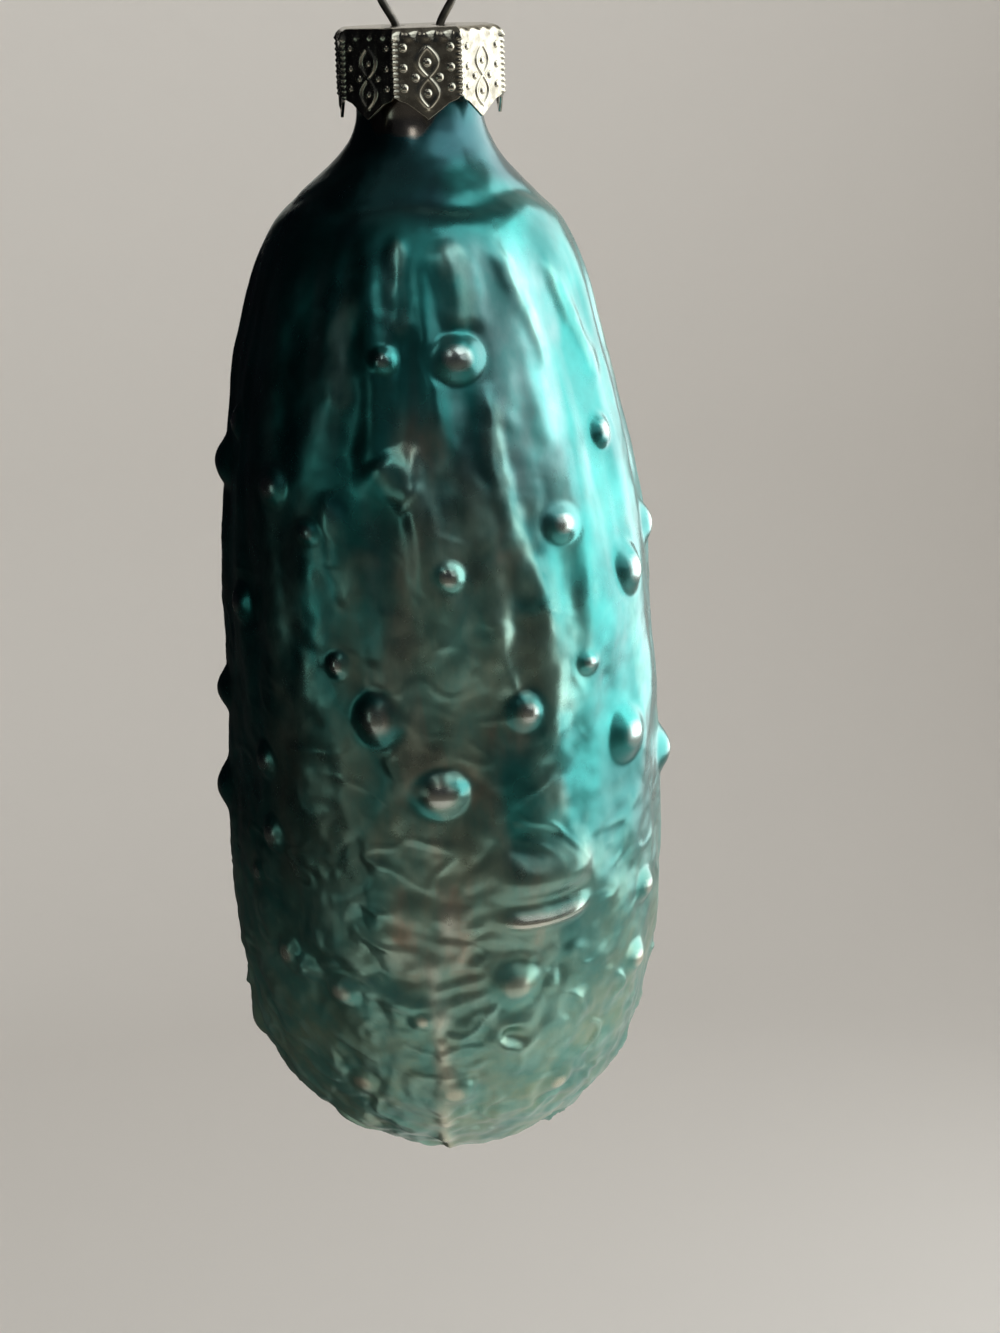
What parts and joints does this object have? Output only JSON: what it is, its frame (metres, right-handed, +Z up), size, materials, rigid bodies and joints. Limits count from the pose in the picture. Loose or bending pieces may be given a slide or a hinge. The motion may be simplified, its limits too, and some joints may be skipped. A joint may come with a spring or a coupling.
{
  "type": "pickle ornament",
  "caption": "Hanging blown-glass pickle with warts and a lacquered silver finish, under a pointed stamped metal cap and a sprung wire hanging loop.",
  "frame": {"origin": "inside top of the hanger's loop, where a hook carries the ornament", "axes": "+Z up along the pickle's axis, +X to the right of the pictured front in the loop's plane, and the front faces -Y"},
  "size_m": [0.0418, 0.0419, 0.1127],
  "materials": {
    "lacquered_glass": "silvered glass under a satin translucent teal-green lacquer, worn pale on the warts",
    "cap_metal": "pale champagne-gold plated sheet, embossed",
    "hanger_wire": "dull drawn spring wire"
  },
  "bodies": {
    "hanger": {"hanger": "hanger_wire"},
    "cap": {"cap": "cap_metal"},
    "glass": {"glass_pickle": "lacquered_glass"}
  },
  "joints": [
    {"name": "hanger_pull", "type": "slide", "parent": "hanger", "child": "cap", "axis": [0, 0, -1], "range_m": [0, 0.005]},
    {"name": "glass_turn", "type": "hinge", "parent": "cap", "child": "glass", "pos_m": [0, 0, -0.0148], "axis": [0, 0, 1], "continuous": true}
  ]
}
